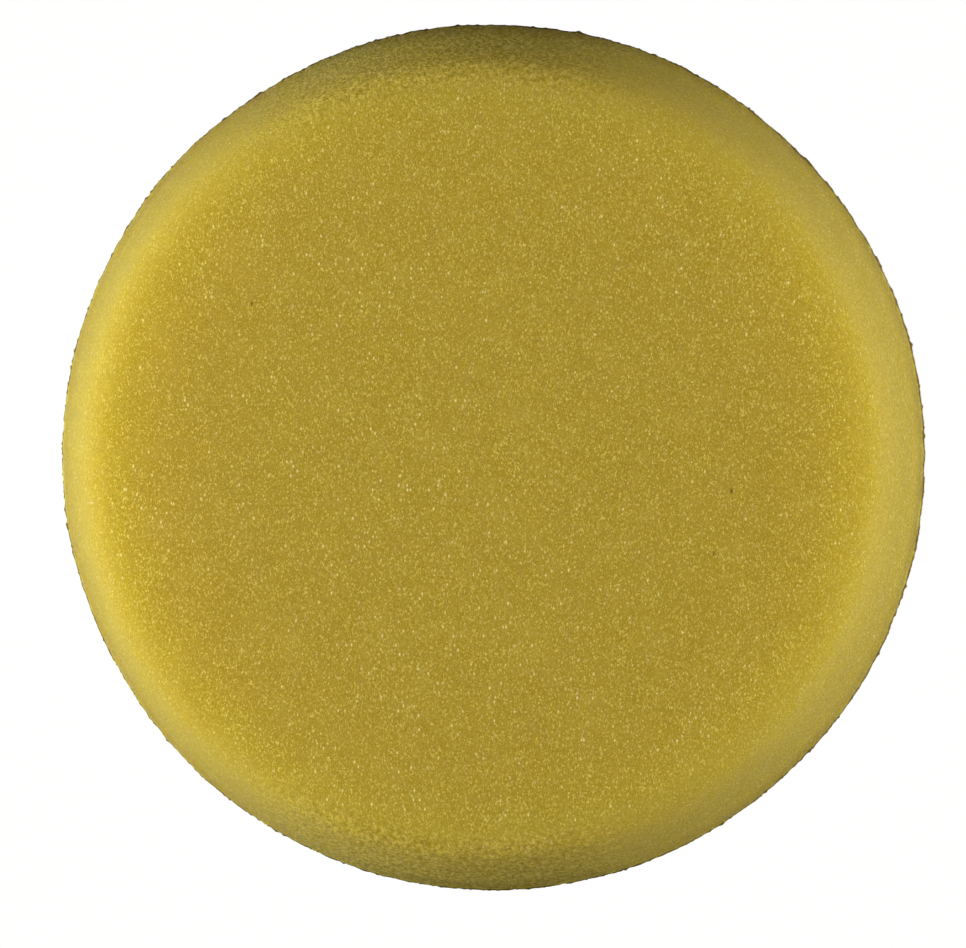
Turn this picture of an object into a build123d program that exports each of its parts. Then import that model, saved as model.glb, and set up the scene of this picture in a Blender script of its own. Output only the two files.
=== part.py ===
from build123d import *

import os
from math import radians, tan

# Foam polishing pad for a hook-and-loop backing plate, lying on its loop face.
#
# Millimetres, +Z up. The origin is the middle of the loop face, which a backing plate's hooks
# grip and on which the pad lies, and +Z points out of the working face. From the bottom up the
# stack is: loop pile, ground cloth, lock coat, adhesive film, foam body. Each layer is stuck to
# the next one over its whole face, and nothing in the pad moves.

# Driving dimensions
pad_diameter = 150.0  # over the foam's back edge, where the pad is widest
pad_height = 30.0
wall_taper = 18.0  # degrees off the axis, narrowing to the working face
face_edge_radius = 5.5
back_edge_radius = 1.0

backing_diameter = 146.0  # the cloth stops short of the foam's edge all round
pile_height = 1.8
pile_edge_radius = 0.7  # the loops along the rim splay outwards to a round edge
cloth_thickness = 0.5
coat_thickness = 0.2
coat_inset = 0.3  # the coat stops just short of the cloth's cut edge
film_thickness = 0.3
film_inset = 0.8  # no adhesive squeezes out at the rim

# The height at which each layer starts
cloth_bottom = pile_height
coat_bottom = cloth_bottom + cloth_thickness
film_bottom = coat_bottom + coat_thickness
foam_bottom = film_bottom + film_thickness

# Radii. The corners are where the taper would meet the foam's faces if its edges were sharp.
pad_radius = pad_diameter / 2
backing_radius = backing_diameter / 2
back_setback = back_edge_radius / tan(radians((90 - wall_taper) / 2))
back_corner_radius = pad_radius - back_edge_radius + back_setback
face_corner_radius = back_corner_radius - (pad_height - foam_bottom) * tan(radians(wall_taper))

# The foam: a flat working face, and a side wall that flares out in a straight taper to the back
with BuildPart() as foam_body:
    with BuildSketch(Plane.XZ):
        with BuildLine():
            Polyline(
                (0, foam_bottom),
                (0, pad_height),
                (face_corner_radius, pad_height),
                (back_corner_radius, foam_bottom),
                (0, foam_bottom),
            )
        make_face()
    revolve(axis=Axis.Z)
    face_rim = foam_body.edges().filter_by(GeomType.CIRCLE).sort_by(Axis.Z)[-1]
    fillet(face_rim, radius=face_edge_radius)
    back_rim = foam_body.edges().filter_by(GeomType.CIRCLE).sort_by(Axis.Z)[0]
    fillet(back_rim, radius=back_edge_radius)
foam_body.part.label = "foam_body"

# The hot-melt film that bonds the foam's back face to the coated cloth
with BuildPart() as adhesive_film:
    with BuildSketch(Plane.XY.offset(film_bottom)):
        Circle(radius=backing_radius - film_inset)
    extrude(amount=film_thickness)
adhesive_film.part.label = "adhesive_film"

# The coat on the cloth's upper side, which locks each loop's root in the knit
with BuildPart() as lock_coat:
    with BuildSketch(Plane.XY.offset(coat_bottom)):
        Circle(radius=backing_radius - coat_inset)
    extrude(amount=coat_thickness)
lock_coat.part.label = "lock_coat"

# The knitted ground that carries the loops
with BuildPart() as ground_cloth:
    with BuildSketch(Plane.XY.offset(cloth_bottom)):
        Circle(radius=backing_radius)
    extrude(amount=cloth_thickness)
ground_cloth.part.label = "ground_cloth"

# The outer shape of the nylon loops, from the face that the hooks grip up to the cloth
with BuildPart() as loop_pile:
    with BuildSketch(Plane.XY):
        Circle(radius=backing_radius)
    extrude(amount=pile_height)
    pile_rim = loop_pile.edges().filter_by(GeomType.CIRCLE).sort_by(Axis.Z)[0]
    fillet(pile_rim, radius=pile_edge_radius)
loop_pile.part.label = "loop_pile"

os.makedirs("parts", exist_ok=True)
export_step(foam_body.part, "parts/foam_body.step")
export_step(adhesive_film.part, "parts/adhesive_film.step")
export_step(lock_coat.part, "parts/lock_coat.step")
export_step(ground_cloth.part, "parts/ground_cloth.step")
export_step(loop_pile.part, "parts/loop_pile.step")
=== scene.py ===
"""The looks of a foam polishing pad: its open-cell foam, its knitted backing and the loops that a
backing plate's hooks grip. Metres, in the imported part's frame: the loops lie on z = 0, and the
working face looks along +Z."""

import math
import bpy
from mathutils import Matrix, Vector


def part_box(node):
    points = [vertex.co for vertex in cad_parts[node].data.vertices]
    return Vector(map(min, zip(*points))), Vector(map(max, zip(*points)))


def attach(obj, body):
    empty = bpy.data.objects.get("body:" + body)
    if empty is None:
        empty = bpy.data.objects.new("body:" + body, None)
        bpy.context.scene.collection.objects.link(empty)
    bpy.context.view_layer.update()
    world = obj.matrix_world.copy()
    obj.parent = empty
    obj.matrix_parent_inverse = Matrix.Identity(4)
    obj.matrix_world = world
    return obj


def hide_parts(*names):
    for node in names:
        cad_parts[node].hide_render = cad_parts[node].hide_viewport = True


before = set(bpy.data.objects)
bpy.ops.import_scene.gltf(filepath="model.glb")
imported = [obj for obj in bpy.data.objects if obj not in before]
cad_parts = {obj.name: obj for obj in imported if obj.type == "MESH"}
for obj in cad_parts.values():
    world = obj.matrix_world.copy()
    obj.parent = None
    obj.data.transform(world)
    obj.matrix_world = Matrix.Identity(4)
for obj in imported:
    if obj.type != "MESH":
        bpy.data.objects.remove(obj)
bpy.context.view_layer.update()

from types import SimpleNamespace

import bpy
import numpy as np
from mathutils import Matrix, Vector, noise

MM = 0.001
SEED = 7

# The foam's profile, as the part states it
WALL_TAPER = math.radians(18)
FACE_EDGE_RADIUS = 5.5 * MM
BACK_EDGE_RADIUS = 1.0 * MM

# How finely the foam's skin is divided: the face is a grid, and each ring goes on from its rim
FACE_CELLS = 196
RING_POINTS = 4 * FACE_CELLS
SKIN_STEP = 0.60 * MM
FRINGE_STEP = 0.34 * MM  # the rings at the back edge, which have twice as many points
FRINGE_HEIGHT = 2.4 * MM

# The foam isn't quite true: slow waves over the whole skin, soft lumps, and broken cells' tips
WAVE_SIZE, WAVE_HEIGHT = 30 * MM, 0.22 * MM
LUMP_SIZE, LUMP_HEIGHT = 2.0 * MM, 0.16 * MM
TIP_SIZE, TIP_HEIGHT = 0.65 * MM, 0.50 * MM
INNER_TIPS = 0.4  # the tips' height away from the back edge, where the skin is more evenly cut
FACE_GRAIN = 0.3  # the share of the lumps and tips that the sliced working face keeps

# The backing: a knitted ground, and loops in rows that the brushing has tumbled
CLOTH_CELLS = 64
RIPPLE_SIZE, RIPPLE_HEIGHT = 6.0 * MM, 0.05 * MM
RIPPLE_START = 0.8  # the share of the cloth's radius from which it ripples
FRAY_SIZE, FRAY_DEPTH = 1.3 * MM, 0.18 * MM
LOOP_PITCH = 1.92 * MM
LOOP_SCATTER = 0.3  # how far each stitch strays from its place, as a share of the pitch
LOOP_RADIUS = 0.16 * MM
LOOP_HALF_WIDTH = (0.45 * MM, 0.75 * MM)
LOOP_LEAN = 1.1 * MM
LOOP_LEAN_SPREAD = 0.9  # radians either side of +Y
LOOP_DEPTHS = (0.72, 1.0)  # how far down each loop hangs, as a share of the pile
LOOP_ROOT_DEPTH = 0.1 * MM  # how far up in the cloth each loop starts
LOOP_STEPS = 6
LOOP_SIDES = 3

# The foam's patterns, in features a millimetre. Its cells are drawn out along Y, as they rose in
# the block, and the tears in its wall are drawn out along Z.
CELLS_PER_MM = 4.8
GLINTS_PER_MM = 2.1
PORES_PER_MM = 0.05
HOLLOWS_PER_MM = 2.4
LUMPS_PER_MM = 1.1
PATCHES_PER_MM = 0.22
GRAIN_PER_MM = 5.0
TEARS_PER_MM = 1.4
CELL_STRETCH = (1.0, 0.6, 1.0)
TEAR_STRETCH = (1.0, 1.0, 0.4)
PORE_RADIUS = (0.010, 0.022)  # as a share of the gap between pores

# How strong the patterns are: shares of a full change of colour, and heights in the bump
WALL_EVENNESS = 0.38
# the share of the painted glints that the wall keeps
WALL_PAINTED_GLINTS = 0.6
# painted shade in the torn wall's hollows and painted light on its ridges, as shares
TORN_SHADE_SHARE = 0.60
TORN_LIGHT_SHARE = 0.85
GRAIN_RELIEF = 0.5
LUMP_RELIEF = 1.4
TORN_RELIEF = 5.0
BUMP_HEIGHT = 0.12 * MM

# The foam's colours: on the face, where the wall is torn, and the tints that change both. Many
# of them paint light and shade, as marked below.
FOAM_DEEP = (0.463, 0.313, 0.0205, 1.0)
FOAM_BRIGHT = (0.93, 0.735, 0.170, 1.0)
FOAM_CHALKY = (0.66, 0.48, 0.080, 1.0)
FOAM_MEAN = (0.585, 0.415, 0.054, 1.0)
# a painted highlight: the glints off the cells' shiny membranes
FOAM_PAINTED_GLINT = (1.0, 0.88, 0.36, 1.0)
# painted shade inside the open pores
PORE_SHADE = (0.12, 0.07, 0.01, 1.0)
# painted light on the torn wall's ridges, and painted shade in its hollows
TORN_RIDGE_LIGHT = (0.90, 0.68, 0.115, 1.0)
TORN_HOLLOW_SHADE = (0.26, 0.18, 0.016, 1.0)
WALL_TINT = (1.0, 0.98, 1.12, 1.0)
# painted light: the lower wall made lighter towards its back edge
LOW_WALL_PAINTED_LIGHT = (1.28, 1.11, 0.94, 1.0)
# painted shade: the low middle of each rough side made darker
LOW_END_PAINTED_SHADE = (0.72, 0.66, 0.66, 1.0)
# painted shade along the back rim
RIM_PAINTED_SHADE = (0.27, 0.28, 0.45, 1.0)
SCATTER_COLOUR = (1.0, 0.95, 0.04)
SCATTER_SCALE = 60.0 * MM

# Where the foam's look changes: ranges of reach and height, in millimetres from the axis and from
# the floor. The wall is rough where it was cut across the drawn-out cells, which is where it looks
# along Y. Each spread is the share of Y in the outward direction at which that starts and is full.
FACE_TO_WALL = (60.7, 64.8)
TORN_REACH = (61.5, 65.5)
CUT_END_REACH = (65.0, 68.0)
END_SPREAD = (0.85, 1.0)
END_LEAN = 0.12  # how far the rough sides reach round towards -X
END_ELSEWHERE = 0.11  # how rough the rest of the wall is
SHADED_MIDDLE_SPREAD = (0.94, 1.0)  # where painted shade darkens the middle of each rough side, low down
# heights where painted light lightens the lower wall, painted shade darkens the low middle of each
# rough side, and painted shade darkens the back rim
LOW_WALL_LIGHT_HEIGHTS = (5.0, 17.0)
LOW_END_SHADE_HEIGHTS = (5.0, 15.0)
SHADED_RIM_HEIGHT = (4.7, 5.6)
GRAIN_ON_HEIGHT = 0.8  # how far the grain moves these heights
SCATTER_SHARE = (0.75, 0.60)  # how much light travels inside the smooth foam and the cut ends

# The other materials' colours
KNIT_DEEP, KNIT_PALE = (0.42, 0.41, 0.38, 1), (0.74, 0.73, 0.69, 1)
KNIT_WORN = (0.62, 0.59, 0.50, 1)
LOOP_DEEP, LOOP_PALE = (0.60, 0.59, 0.55, 1), (0.86, 0.85, 0.81, 1)
LOOP_TANGLED = (0.66, 0.64, 0.58, 1)
FILM_COLOUR, FILM_CLOUDED, FILM_ROUGHNESS = (0.62, 0.52, 0.30, 1), (0.78, 0.70, 0.48, 1), 0.35
COAT_COLOUR, COAT_CLOUDED, COAT_ROUGHNESS = (0.70, 0.69, 0.65, 1), (0.82, 0.81, 0.78, 1), 0.5
PAPER_DEEP, PAPER_PALE = (0.89, 0.89, 0.885, 1), (0.91, 0.91, 0.905, 1)


# ---- meshes ------------------------------------------------------------------------------------


def make_object(name, points, faces):
    mesh = bpy.data.meshes.new(name)
    mesh.from_pydata(points.tolist(), [], faces)
    mesh.polygons.foreach_set("use_smooth", [True] * len(mesh.polygons))
    mesh.update()
    made = bpy.data.objects.new(name, mesh)
    bpy.context.scene.collection.objects.link(made)
    return made


def disc_grid(cells):
    """A square grid of points spread evenly over the unit disc, row by row, shape (n, n, 2)."""
    side = np.linspace(-1, 1, cells + 1)
    u, v = np.meshgrid(side, side)
    wide = np.abs(u) >= np.abs(v)
    reach = np.where(wide, u, v)
    across = np.where(wide, v, u)
    slope = np.divide(across, reach, out=np.zeros_like(reach), where=reach != 0)
    turn = math.pi / 4 * slope
    angle = np.where(wide, turn, math.pi / 2 - turn)
    return np.stack((reach * np.cos(angle), reach * np.sin(angle)), axis=-1)


def grid_faces(cells):
    """Quads of a grid of points laid out row by row, facing +Z."""
    row = cells + 1
    corners = [j * row + i for j in range(cells) for i in range(cells)]
    return [(c, c + 1, c + row + 1, c + row) for c in corners]


def grid_rim(cells):
    """The grid's outer points in order, anticlockwise from the lowest corner."""
    row, last = cells + 1, cells * (cells + 1)
    bottom = list(range(cells))
    right = [cells + j * row for j in range(cells)]
    top = [last + i for i in range(cells, 0, -1)]
    left = [j * row for j in range(cells, 0, -1)]
    return bottom + right + top + left


def band_faces(upper, lower):
    """Quads between two closed rings of point numbers. They face outwards when upper is above."""
    count = len(upper)
    return [
        (lower[k], lower[(k + 1) % count], upper[(k + 1) % count], upper[k]) for k in range(count)
    ]


def doubling_faces(upper, lower):
    """Triangles from a ring down to one with twice as many points."""
    count = len(upper)
    faces = []
    for k in range(count):
        left, right = upper[k], upper[(k + 1) % count]
        first, middle, last = lower[2 * k], lower[2 * k + 1], lower[(2 * k + 2) % (2 * count)]
        faces += [(first, middle, left), (middle, right, left), (middle, last, right)]
    return faces


def arc_profile(centre, radius, start, end, step):
    """Points and outward directions along a round edge. Angles are off the axis, in radians."""
    count = max(2, round(radius * abs(end - start) / step))
    turns = np.linspace(start, end, count + 1)
    outward = np.stack((np.sin(turns), np.cos(turns)), axis=-1)
    return np.array(centre) + radius * outward, outward


def foam_profile():
    """(radius, height) points down the foam's side from the flat face to the flat back, with the
    outward direction at each."""
    low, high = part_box("foam_body")
    back_centre = (high.x - BACK_EDGE_RADIUS, low.z + BACK_EDGE_RADIUS)
    wall_turn = math.pi / 2 - WALL_TAPER
    face_drop = high.z - FACE_EDGE_RADIUS - back_centre[1]
    inset = face_drop * math.tan(WALL_TAPER)
    inset += (FACE_EDGE_RADIUS - BACK_EDGE_RADIUS) / math.cos(WALL_TAPER)
    face_centre = (back_centre[0] - inset, high.z - FACE_EDGE_RADIUS)
    top = arc_profile(face_centre, FACE_EDGE_RADIUS, 0, wall_turn, SKIN_STEP)
    base = arc_profile(back_centre, BACK_EDGE_RADIUS, wall_turn, math.pi, FRINGE_STEP)
    wall_ends = (top[0][-1], base[0][0])
    slant = np.linalg.norm(wall_ends[1] - wall_ends[0])
    fringe = FRINGE_HEIGHT / slant
    share = np.concatenate((
        np.linspace(0, 1 - fringe, round(slant * (1 - fringe) / SKIN_STEP) + 1)[1:],
        np.linspace(1 - fringe, 1, round(FRINGE_HEIGHT / FRINGE_STEP) + 1)[1:-1],
    ))[:, None]
    wall = wall_ends[0] + share * (wall_ends[1] - wall_ends[0])
    wall_outward = np.repeat(top[1][-1:], len(wall), axis=0)
    return (
        np.concatenate((top[0], wall, base[0])),
        np.concatenate((top[1], wall_outward, base[1])),
    )


def field(points, size, octaves=1, seed=0):
    """Smooth seeded noise between about -1 and 1 at each point, for lumps of the given size."""
    shift = Vector((SEED + seed, 3.1 * seed, -1.7 * seed))
    scaled = points / size
    return np.array([noise.fractal(Vector(p) + shift, 1.0, 2.0, octaves) for p in scaled])


def roughen(points, outward, keep):
    """Pushes the skin in and out along its outward direction. keep is each point's share of
    the grain."""
    waves = WAVE_HEIGHT * field(points, WAVE_SIZE, 2, seed=1)
    lumps = LUMP_HEIGHT * field(points, LUMP_SIZE, 2, seed=2)
    tips = TIP_HEIGHT * np.clip(field(points, TIP_SIZE, 1, seed=3), 0, 1) ** 1.6
    above_back = points[:, 2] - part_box("foam_body")[0].z - BACK_EDGE_RADIUS
    tips *= np.interp(above_back, (0.5 * FRINGE_HEIGHT, 1.5 * FRINGE_HEIGHT), (1.0, INNER_TIPS))
    return points + outward * (waves + keep * (lumps + tips))[:, None]


def make_foam():
    """The foam disc: a grid over the face, rings down the wall and round to the flat back."""
    profile, outward = foam_profile()
    face = disc_grid(FACE_CELLS).reshape(-1, 2) * profile[0, 0]
    coarse_rim = grid_rim(FACE_CELLS)
    turns = np.linspace(0, math.tau, 2 * RING_POINTS, endpoint=False) - 0.75 * math.pi
    fine_spokes = np.column_stack((np.cos(turns), np.sin(turns)))
    fringe_top = profile[-1, 1] + BACK_EDGE_RADIUS + FRINGE_HEIGHT

    points = [np.column_stack((face, np.full(len(face), profile[0, 1])))]
    directions = [np.tile((0.0, 0.0, 1.0), (len(face), 1))]
    faces = grid_faces(FACE_CELLS)
    upper, first = coarse_rim, len(face)
    for (reach, height), (across, up) in zip(profile[1:], outward[1:]):
        spokes = fine_spokes[::2] if height > fringe_top else fine_spokes
        points.append(np.column_stack((spokes * reach, np.full(len(spokes), height))))
        directions.append(np.column_stack((spokes * across, np.full(len(spokes), up))))
        lower = list(range(first, first + len(spokes)))
        join = band_faces if len(upper) == len(lower) else doubling_faces
        faces += join(upper, lower)
        upper, first = lower, first + len(spokes)

    points, directions = np.concatenate(points), np.concatenate(directions)
    wallward = np.clip(1 - directions[:, 2], 0, 1)
    keep = FACE_GRAIN + (1 - FACE_GRAIN) * wallward
    keep *= np.where(directions[:, 2] < -0.9, 0, 1)
    points = np.vstack((roughen(points, directions, keep), (0, 0, profile[-1, 1])))
    count = len(upper)
    faces += [(first, upper[(k + 1) % count], upper[k]) for k in range(count)]
    return make_object("foam", points, faces)


def make_cloth():
    """The knitted ground: a thin closed disc that ripples a little and is frayed along its cut."""
    low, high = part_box("ground_cloth")
    grid = disc_grid(CLOTH_CELLS).reshape(-1, 2)
    rim = grid_rim(CLOTH_CELLS)
    flat = np.column_stack((grid * high.x, np.zeros(len(grid))))
    reach = np.linalg.norm(grid, axis=1)
    at_rim = reach > 0.999
    fray = FRAY_DEPTH * field(flat, FRAY_SIZE, 1, seed=5) * at_rim
    flat[:, :2] -= grid * np.abs(fray)[:, None]
    rimward = np.clip((reach - RIPPLE_START) / (1 - RIPPLE_START), 0, 1)
    ripple = RIPPLE_HEIGHT * field(flat, RIPPLE_SIZE, 1, seed=6) * rimward
    top, bottom = flat.copy(), flat.copy()
    top[:, 2] = high.z - np.abs(ripple)
    bottom[:, 2] = low.z + np.abs(ripple)
    count = len(grid)
    faces = grid_faces(CLOTH_CELLS)
    faces += [tuple(count + c for c in reversed(quad)) for quad in grid_faces(CLOTH_CELLS)]
    faces += band_faces(rim, [count + c for c in rim])
    return make_object("knit_ground", np.concatenate((top, bottom)), faces)


def loop_roots(radius, random):
    """Where each loop leaves the cloth: rows of a knit, each stitch a little out of place."""
    row_gap = LOOP_PITCH * math.sqrt(3) / 2
    rows = np.arange(-radius, radius + row_gap, row_gap)
    roots = []
    for number, y in enumerate(rows):
        x = np.arange(-radius, radius + LOOP_PITCH, LOOP_PITCH) + (number % 2) * LOOP_PITCH / 2
        roots.append(np.column_stack((x, np.full(len(x), y))))
    roots = np.concatenate(roots)
    roots += random.uniform(-LOOP_SCATTER, LOOP_SCATTER, roots.shape) * LOOP_PITCH
    return roots[np.linalg.norm(roots, axis=1) < radius]


def loop_paths(low, high):
    """The line that each loop follows from the cloth down and back, shape (loops, steps, 3), and
    the direction across each loop."""
    random = np.random.default_rng(SEED)
    roots = loop_roots(high.x - LOOP_HALF_WIDTH[1], random)
    count = len(roots)
    turn = random.uniform(0, math.tau, count)
    lean_turn = math.pi / 2 + random.normal(0, LOOP_LEAN_SPREAD, count)
    half = random.uniform(*LOOP_HALF_WIDTH, count)
    deepest = high.z - low.z - LOOP_RADIUS * 1.1
    depth = deepest * random.uniform(*LOOP_DEPTHS, count)
    lean = LOOP_LEAN * random.uniform(0.3, 1.0, count)
    sweep = np.linspace(0, math.pi, LOOP_STEPS + 1)
    belly = np.sin(sweep)
    across = np.cos(sweep) * (1 + 0.5 * belly)
    along = np.column_stack((np.cos(turn), np.sin(turn)))
    tilt = np.column_stack((np.cos(lean_turn), np.sin(lean_turn)))
    path = np.zeros((count, LOOP_STEPS + 1, 3))
    path[..., :2] = (
        roots[:, None]
        + along[:, None] * (half[:, None] * across)[..., None]
        + tilt[:, None] * (lean[:, None] * belly**2)[..., None]
    )
    reach = np.linalg.norm(path[..., :2], axis=-1, keepdims=True)
    path[..., :2] *= np.minimum(1, (high.x - LOOP_RADIUS) / np.maximum(reach, MM))
    path[..., 2] = high.z + LOOP_ROOT_DEPTH - (depth[:, None] + LOOP_ROOT_DEPTH) * belly
    return path, along


def tube_points(path, along):
    """The corners of a thin tube round each path, loop by loop and step by step."""
    forward = np.gradient(path, axis=1)
    forward /= np.linalg.norm(forward, axis=-1, keepdims=True)
    side = np.column_stack((-along[:, 1], along[:, 0], np.zeros(len(along))))[:, None]
    side = np.cross(forward, np.cross(side, forward))
    side /= np.linalg.norm(side, axis=-1, keepdims=True)
    normal = np.cross(forward, side)
    rings = []
    for k in range(LOOP_SIDES):
        turned = math.tau * k / LOOP_SIDES
        rings.append(path + LOOP_RADIUS * (math.cos(turned) * side + math.sin(turned) * normal))
    return np.stack(rings, axis=2).reshape(-1, 3)


def tube_faces(count):
    """The faces of count closed tubes whose corners lie one tube after another."""
    faces = []
    per_loop = (LOOP_STEPS + 1) * LOOP_SIDES
    for base in range(0, count * per_loop, per_loop):
        for step in range(LOOP_STEPS):
            here = base + step * LOOP_SIDES
            ring = list(range(here, here + LOOP_SIDES))
            faces += band_faces([c + LOOP_SIDES for c in ring], ring)
        last = base + per_loop - LOOP_SIDES
        faces.append(tuple(range(base + LOOP_SIDES - 1, base - 1, -1)))
        faces.append(tuple(range(last, last + LOOP_SIDES)))
    return faces


def make_loops():
    """Every loop of the pile, as a closed thin tube that leaves the cloth and comes back to it."""
    path, along = loop_paths(*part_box("loop_pile"))
    return make_object("loops", tube_points(path, along), tube_faces(len(path)))


# ---- materials ---------------------------------------------------------------------------------


class Shader:
    """A material's nodes. Each call adds one node and links or sets its inputs."""

    def __init__(self, name):
        self.material = bpy.data.materials.new(name)
        self.material.use_nodes = True
        self.tree = self.material.node_tree
        self.tree.nodes.clear()

    def node(self, kind, inputs=None, **settings):
        made = self.tree.nodes.new("ShaderNode" + kind)
        for key, value in settings.items():
            setattr(made, key, value)
        for key, value in (inputs or {}).items():
            if isinstance(value, bpy.types.NodeSocket):
                self.tree.links.new(value, made.inputs[key])
            else:
                made.inputs[key].default_value = value
        return made

    def millimetres(self):
        """The point on the object in millimetres."""
        return self.stretch(self.node("TexCoord").outputs["Object"], (1 / MM, 1 / MM, 1 / MM))

    def noise(self, place, scale, detail=2.0, roughness=0.5):
        inputs = {"Vector": place, "Scale": scale, "Detail": detail, "Roughness": roughness}
        return self.node("TexNoise", inputs).outputs["Fac"]

    def cells(self, place, scale):
        return self.node("TexVoronoi", {"Vector": place, "Scale": scale})

    def ramp(self, value, low, high, to_low=0.0, to_high=1.0):
        """value, moved from the range low to high to the range to_low to to_high, smoothly."""
        inputs = {0: value, 1: low, 2: high, 3: to_low, 4: to_high}
        return self.node("MapRange", inputs, interpolation_type="SMOOTHSTEP").outputs[0]

    def math(self, operation, a, b=0.0):
        return self.node("Math", {0: a, 1: b}, operation=operation).outputs[0]

    def mix(self, share, a, b, blend="MIX"):
        made = self.node("Mix", data_type="RGBA", blend_type=blend)
        for socket, value in zip((made.inputs[0], made.inputs[6], made.inputs[7]), (share, a, b)):
            if isinstance(value, bpy.types.NodeSocket):
                self.tree.links.new(value, socket)
            else:
                socket.default_value = value
        return made.outputs[2]

    def stretch(self, place, factors):
        return self.node("VectorMath", {0: place, 1: factors}, operation="MULTIPLY").outputs[0]

    def tint(self, share, colour, factors):
        """colour, multiplied by the factors where share is 1."""
        return self.mix(share, colour, self.mix(1.0, colour, factors, "MULTIPLY"))

    def glints(self, place, scale, shift, low, high):
        """Small spots of several sizes in the cells whose random value passes low to high."""
        cell = self.cells(place, scale)
        split = self.node("SeparateColor", {0: cell.outputs["Color"]})
        pick = self.ramp(self.math("SUBTRACT", split.outputs[1], shift), low, high)
        size = self.ramp(split.outputs[2], 0.0, 1.0, 0.26, 0.54)
        spot = self.ramp(cell.outputs["Distance"], 0.14, size, 1.0, 0.0)
        return self.math("MULTIPLY", pick, spot)

    def finish(self, **inputs):
        """Ends in a Principled shader. Input names have underscores for spaces."""
        named = {key.replace("_", " "): value for key, value in inputs.items()}
        shader = self.node("BsdfPrincipled", named, subsurface_method="RANDOM_WALK")
        self.node("OutputMaterial", {"Surface": shader.outputs[0]})
        return self.material


def foam_fields(s):
    """The point on the foam in millimetres, and the patterns that its colour and relief share."""
    place = s.millimetres()
    drawn_out = s.stretch(place, CELL_STRETCH)
    pore_distance = s.cells(drawn_out, PORES_PER_MM).outputs["Distance"]
    return SimpleNamespace(
        place=place,
        drawn_out=drawn_out,
        grain=s.noise(drawn_out, GRAIN_PER_MM, 2.0, 0.7),
        mottle=s.noise(s.stretch(place, TEAR_STRETCH), TEARS_PER_MM, 3.0, 0.75),
        pore=s.ramp(pore_distance, *PORE_RADIUS, 1.0, 0.0),
    )


def foam_masks(s, foam):
    """Where the foam's look changes, as a share from 0 to 1 at each point."""
    level = s.stretch(foam.place, (1, 1, 0))
    reach = s.node("VectorMath", {0: level}, operation="LENGTH").outputs[1]
    axes = s.node("SeparateXYZ", {0: foam.place})
    endward = s.math("ABSOLUTE", axes.outputs[1])
    leaning = s.math("SUBTRACT", endward, s.math("MULTIPLY", axes.outputs[0], END_LEAN))
    end_on = s.ramp(s.math("DIVIDE", leaning, reach), *END_SPREAD, END_ELSEWHERE, 1.0)
    # the middle of each rough side, where painted shade goes low down
    middle = s.ramp(s.math("DIVIDE", endward, reach), *SHADED_MIDDLE_SPREAD)
    height = s.math("ADD", axes.outputs[2], s.math("MULTIPLY", foam.grain, GRAIN_ON_HEIGHT))
    wall = s.ramp(reach, *FACE_TO_WALL)
    cut_end = s.math("MULTIPLY", end_on, s.ramp(reach, *CUT_END_REACH))
    # the places of the painted light on the lower wall, the painted shade low in the rough sides'
    # middles, and the painted shade on the back rim
    lit_low_wall = s.ramp(height, *LOW_WALL_LIGHT_HEIGHTS, 1.0, 0.0)
    return SimpleNamespace(
        wall=wall,
        cut_end=cut_end,
        torn=s.math("MULTIPLY", end_on, s.ramp(reach, *TORN_REACH)),
        smooth_wall=s.math("SUBTRACT", wall, cut_end),
        lit_low_wall=s.math("MULTIPLY", lit_low_wall, s.ramp(cut_end, 0.0, 1.0, 1.0, 0.0)),
        shaded_low_end=s.math("MULTIPLY", s.ramp(height, *LOW_END_SHADE_HEIGHTS, 1.0, 0.0), middle),
        rim=s.ramp(height, *SHADED_RIM_HEIGHT, 1.0, 0.0),
    )


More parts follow.
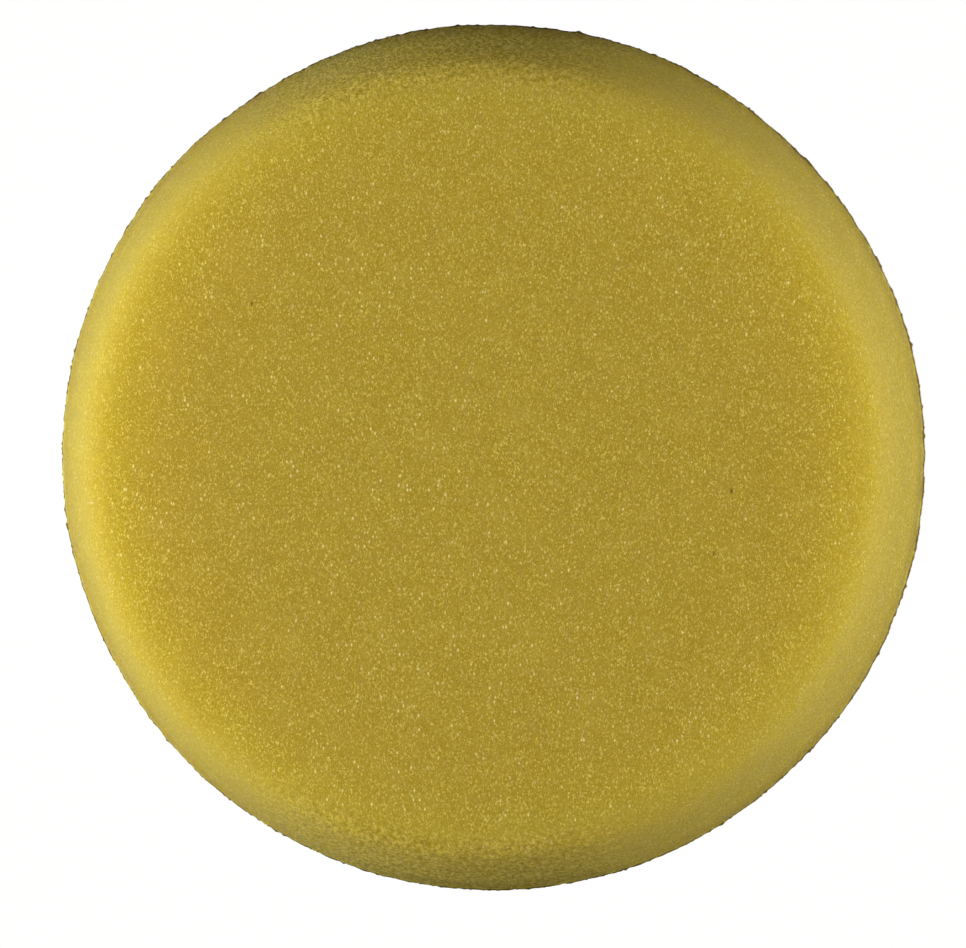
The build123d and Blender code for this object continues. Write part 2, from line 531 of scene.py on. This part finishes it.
def foam_colour(s, foam, mask):
    """Cells that are deep or bright at random, chalky patches, painted shade and light on the torn
    wall, painted glints, painted shade in pores, then the tints: the paler wall, painted light on
    the lower wall, and painted shade low in the rough sides' middles and on the back rim.
    """
    cell = s.cells(foam.drawn_out, CELLS_PER_MM)
    tone = s.node("SeparateColor", {0: cell.outputs["Color"]}).outputs[0]
    bright = s.math("MULTIPLY", s.math("POWER", tone, 6.0), 0.66)
    shade = s.math("ADD", bright, s.ramp(foam.grain, 0.3, 0.8, 0.0, 0.5))
    colour = s.mix(shade, FOAM_DEEP, FOAM_BRIGHT)
    patch = s.noise(foam.place, PATCHES_PER_MM, 4.0, 0.6)
    colour = s.mix(s.ramp(patch, 0.45, 0.72, 0.0, 0.3), colour, FOAM_CHALKY)
    colour = s.mix(s.ramp(mask.smooth_wall, 0.0, 1.0, 0.0, WALL_EVENNESS), colour, FOAM_MEAN)
    # painted shade in the torn wall's hollows and painted light on its ridges, where the same
    # mottle lowers and raises the relief
    torn_shade = s.math("MULTIPLY", mask.torn, s.ramp(foam.mottle, 0.33, 0.50, TORN_SHADE_SHARE, 0.0))
    light = s.math("MULTIPLY", mask.torn, s.ramp(foam.mottle, 0.50, 0.65, 0.0, TORN_LIGHT_SHARE))
    colour = s.mix(torn_shade, colour, TORN_HOLLOW_SHADE)
    colour = s.mix(light, colour, TORN_RIDGE_LIGHT)
    # painted glints: highlights off the cells' shiny membranes, painted into the colour
    crowding = s.ramp(patch, 0.3, 0.7, 0.06, -0.06)
    painted_glint = s.glints(foam.drawn_out, GLINTS_PER_MM, crowding, 0.84, 1.0)
    painted_glint = s.math("MULTIPLY", painted_glint, s.ramp(mask.wall, 0.0, 1.0, 1.0, WALL_PAINTED_GLINTS))
    colour = s.mix(painted_glint, colour, FOAM_PAINTED_GLINT)
    # painted shade inside the open pores
    colour = s.mix(s.math("MULTIPLY", foam.pore, 0.75), colour, PORE_SHADE)
    colour = s.tint(mask.wall, colour, WALL_TINT)
    # painted light on the lower wall; painted shade low in the rough sides' middles and on the back
    # rim
    colour = s.tint(mask.lit_low_wall, colour, LOW_WALL_PAINTED_LIGHT)
    colour = s.tint(mask.shaded_low_end, colour, LOW_END_PAINTED_SHADE)
    return s.tint(mask.rim, colour, RIM_PAINTED_SHADE)


def foam_relief(s, foam, mask):
    """The height of the skin for the bump: hollow cells, lumps, open pores, and the torn wall."""
    hollow = s.ramp(s.cells(foam.place, HOLLOWS_PER_MM).outputs["Distance"], 0.1, 0.75)
    lump = s.noise(foam.place, LUMPS_PER_MM, 2.0, 0.6)
    relief = s.math("ADD", hollow, s.math("MULTIPLY", foam.grain, GRAIN_RELIEF))
    relief = s.math("ADD", relief, s.math("MULTIPLY", lump, LUMP_RELIEF))
    relief = s.math("SUBTRACT", relief, foam.pore)
    torn_relief = s.math("MULTIPLY", mask.torn, TORN_RELIEF)
    return s.math("ADD", relief, s.math("MULTIPLY", foam.mottle, torn_relief))


def foam_material():
    """Yellow open-cell foam. Its wall is paler and smoother than its face, but rougher where it is
    cut across the drawn-out cells, with painted shade in its hollows and painted light on its
    ridges there, and painted shade low in the middle of those sides. The lower wall has painted
    light and the back rim painted shade. No light travels inside the rim, where thin tips would
    let it out unscattered."""
    s = Shader("open_cell_foam")
    foam = foam_fields(s)
    mask = foam_masks(s, foam)
    inward = s.ramp(mask.cut_end, 0.0, 1.0, *SCATTER_SHARE)
    bump = {"Strength": 1.0, "Distance": BUMP_HEIGHT, "Height": foam_relief(s, foam, mask)}
    return s.finish(
        Base_Color=foam_colour(s, foam, mask),
        Roughness=0.78,
        Normal=s.node("Bump", bump).outputs[0],
        IOR=1.4,
        Specular_IOR_Level=0.0,
        Subsurface_Weight=s.math("MULTIPLY", inward, s.ramp(mask.rim, 0.0, 1.0, 1.0, 0.0)),
        Subsurface_Radius=SCATTER_COLOUR,
        Subsurface_Scale=SCATTER_SCALE,
    )


def knit_material():
    """Warp-knitted nylon: fine wales along Y, crossed by the courses."""
    s = Shader("nylon_knit")
    place = s.millimetres()
    wale = s.node(
        "TexWave", {"Vector": place, "Scale": 0.55, "Distortion": 1.2, "Detail Scale": 2.0},
        bands_direction="X",
    ).outputs["Fac"]
    course = s.node(
        "TexWave", {"Vector": place, "Scale": 0.8, "Distortion": 1.5, "Detail Scale": 2.0},
        bands_direction="Y",
    ).outputs["Fac"]
    knit = s.math("MULTIPLY", wale, s.math("ADD", s.math("MULTIPLY", course, 0.5), 0.5))
    wear = s.noise(place, 0.12, 3.0)
    colour = s.mix(s.ramp(knit, 0.1, 0.8), KNIT_DEEP, KNIT_PALE)
    colour = s.mix(s.ramp(wear, 0.4, 0.7, 0.0, 0.25), colour, KNIT_WORN)
    bump = s.node("Bump", {"Strength": 0.6, "Distance": 0.1 * MM, "Height": knit}).outputs[0]
    return s.finish(
        Base_Color=colour, Roughness=0.7, Normal=bump, Sheen_Weight=0.3, Sheen_Roughness=0.4
    )


def loop_material():
    """Brushed nylon filaments: pale, with a soft sheen and fine strands along each loop."""
    s = Shader("nylon_loops")
    place = s.millimetres()
    strand = s.noise(place, 9.0, 2.0, 0.6)
    tangle = s.noise(place, 0.6, 2.0)
    colour = s.mix(s.ramp(strand, 0.3, 0.7), LOOP_DEEP, LOOP_PALE)
    colour = s.mix(s.ramp(tangle, 0.4, 0.7, 0.0, 0.3), colour, LOOP_TANGLED)
    bump = s.node("Bump", {"Strength": 0.4, "Distance": 0.03 * MM, "Height": strand}).outputs[0]
    return s.finish(
        Base_Color=colour, Roughness=0.55, Normal=bump, Sheen_Weight=0.4, Sheen_Roughness=0.35
    )


def film_material(name, colour, clouded, roughness):
    """A thin plastic layer: slightly uneven, with paler clouded patches."""
    s = Shader(name)
    place = s.millimetres()
    cloud = s.noise(place, 0.5, 4.0, 0.6)
    speck = s.noise(place, 6.0, 2.0)
    tint = s.mix(s.ramp(cloud, 0.35, 0.7), colour, clouded)
    bump = s.node("Bump", {"Strength": 0.3, "Distance": 0.05 * MM, "Height": speck}).outputs[0]
    return s.finish(Base_Color=tint, Roughness=roughness, Normal=bump)


def floor_material():
    """Plain pale studio paper, with a faint tooth."""
    s = Shader("pale_paper")
    place = s.millimetres()
    tooth = s.noise(place, 0.8, 3.0)
    colour = s.mix(s.ramp(tooth, 0.3, 0.7), PAPER_DEEP, PAPER_PALE)
    return s.finish(Base_Color=colour, Roughness=0.9, Specular_IOR_Level=0.1)


# ---- studio ------------------------------------------------------------------------------------

# Each softbox: azimuth (0 from +X, 90 from +Y), elevation, distance, diameter, and how strongly it
# lights the middle of the pad
SOFTBOXES = {
    "left_key": (182, 24, 0.60, 0.20, 1.98),
    "left_back": (160, 22, 0.60, 0.20, 0.64),
    "left_low": (138, 4, 0.60, 0.20, 0.22),
    "right_key": (-2, 13, 0.50, 0.18, 1.60),
    "right_back": (25, 13, 0.50, 0.18, 0.55),
    "overhead": (90, 84, 0.50, 0.35, 0.92),
    "front_fill": (270, 10, 0.60, 0.20, 0.58),
    "front_left": (228, 4, 0.60, 0.20, 0.24),
}
# Low lights all round for the backing alone, in place of what a real floor would throw up at it,
# in the same terms
BACKING_LIGHTS = {
    f"backing_fill_{azimuth}": (azimuth, 6, 0.50, 0.30, 1.60) for azimuth in (0, 72, 144, 216, 288)
}
# Two suns on the floor alone: azimuth, elevation, angular size and strength. The fill casts no
# shadow, so that the pad's shadow on the floor isn't black.
FLOOR_LIGHT = (0, 90, 8, 2.30)
FLOOR_FILL = (0, 90, 8, 1.12)
WORLD_AMBIENT = 0.03
WORLD_SEEN = (0.98, 0.98, 0.98, 1.0)
FLOOR_SIZE = 12.0

CAMERA_LENS = 200.0
CAMERA_DISTANCE = 0.931
CAMERA_LEAN = (math.radians(4.6), math.radians(1.6))  # towards +X and +Y
CAMERA_AIM = (-1.44 * MM, -2.81 * MM)


def add_light(name, kind, azimuth, elevation, distance, lit):
    """A light that looks at the middle of the pad and reaches only the collection lit."""
    made = bpy.data.objects.new(name, bpy.data.lights.new(name, kind))
    bpy.context.scene.collection.objects.link(made)
    turn, rise = math.radians(azimuth), math.radians(elevation)
    level = math.cos(rise)
    away = Vector((math.cos(turn) * level, math.sin(turn) * level, math.sin(rise)))
    made.location = away * distance
    made.rotation_mode = "QUATERNION"
    made.rotation_quaternion = away.to_track_quat("Z", "Y")
    made.light_linking.receiver_collection = lit
    made.visible_camera = False
    return made.data


def add_softbox(name, azimuth, elevation, distance, diameter, strength, lit):
    light = add_light(name, "AREA", azimuth, elevation, distance, lit)
    light.shape = "DISK"
    light.size = diameter
    light.energy = strength * math.pi * distance**2


def add_sun(name, azimuth, elevation, size, strength, lit):
    light = add_light(name, "SUN", azimuth, elevation, 1.0, lit)
    light.energy = strength
    light.angle = math.radians(size)
    return light


def make_world():
    """A low even ambient light. The camera sees it as pale as the floor."""
    world = bpy.data.worlds.new("studio")
    bpy.context.scene.world = world
    world.use_nodes = True
    tree = world.node_tree
    tree.nodes.clear()
    ambient = tree.nodes.new("ShaderNodeBackground")
    ambient.inputs["Strength"].default_value = WORLD_AMBIENT
    seen = tree.nodes.new("ShaderNodeBackground")
    seen.inputs["Color"].default_value = WORLD_SEEN
    path = tree.nodes.new("ShaderNodeLightPath")
    mix = tree.nodes.new("ShaderNodeMixShader")
    out = tree.nodes.new("ShaderNodeOutputWorld")
    tree.links.new(path.outputs["Is Camera Ray"], mix.inputs[0])
    tree.links.new(ambient.outputs[0], mix.inputs[1])
    tree.links.new(seen.outputs[0], mix.inputs[2])
    tree.links.new(mix.outputs[0], out.inputs["Surface"])


def make_floor():
    corners = np.array([(-1, -1, 0), (1, -1, 0), (1, 1, 0), (-1, 1, 0)]) * FLOOR_SIZE / 2
    floor = make_object("floor", corners, [(0, 1, 2, 3)])
    floor.data.materials.append(floor_material())
    floor.visible_diffuse = False  # it is lit far more than the pad, and throws nothing back at it
    return floor


def collect(name, *objects):
    """A collection of the objects that a light reaches."""
    made = bpy.data.collections.new(name)
    for o in objects:
        made.objects.link(o)
    return made


def make_camera():
    camera = bpy.data.cameras.new("camera")
    camera.lens = CAMERA_LENS
    camera.sensor_width = 36.0
    made = bpy.data.objects.new("camera", camera)
    bpy.context.scene.collection.objects.link(made)
    towards = Vector((math.tan(CAMERA_LEAN[0]), math.tan(CAMERA_LEAN[1]), 1)).normalized()
    aim = Vector((*CAMERA_AIM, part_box("foam_body")[0].z))
    across = Vector((0, 1, 0)).cross(towards).normalized()
    turn = Matrix((across, towards.cross(across), towards)).transposed()
    made.matrix_world = Matrix.Translation(aim + towards * CAMERA_DISTANCE) @ turn.to_4x4()
    bpy.context.scene.camera = made


def dress(piece, material, slot, *nodes):
    """Gives a new piece its material, the body it rides on and the nodes it stands for. The slot
    is not used."""
    piece.data.materials.append(material)
    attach(piece, "root")
    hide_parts(*nodes)
    return piece


foam = dress(make_foam(), foam_material(), "foam", "foam_body")

cloth = dress(make_cloth(), knit_material(), "knit", "ground_cloth")

loops = dress(make_loops(), loop_material(), "loops", "loop_pile")

film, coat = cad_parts["adhesive_film"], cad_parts["lock_coat"]
for layer, material in (
    (film, film_material("hot_melt_film", FILM_COLOUR, FILM_CLOUDED, FILM_ROUGHNESS)),
    (coat, film_material("binder_coat", COAT_COLOUR, COAT_CLOUDED, COAT_ROUGHNESS)),
):
    layer.data.materials.clear()
    layer.data.materials.append(material)

floor = make_floor()
pad_pieces = collect("pad", foam, cloth, loops, film, coat)
for light_name, values in SOFTBOXES.items():
    add_softbox(light_name, *values, pad_pieces)
backing_pieces = collect("backing", cloth, loops, film, coat)
for light_name, values in BACKING_LIGHTS.items():
    add_softbox(light_name, *values, backing_pieces)
stage_pieces = collect("stage", floor)
add_sun("floor_light", *FLOOR_LIGHT, stage_pieces)
add_sun("floor_fill", *FLOOR_FILL, stage_pieces).use_shadow = False
make_world()
make_camera()
bpy.context.scene.view_settings.view_transform = "Standard"
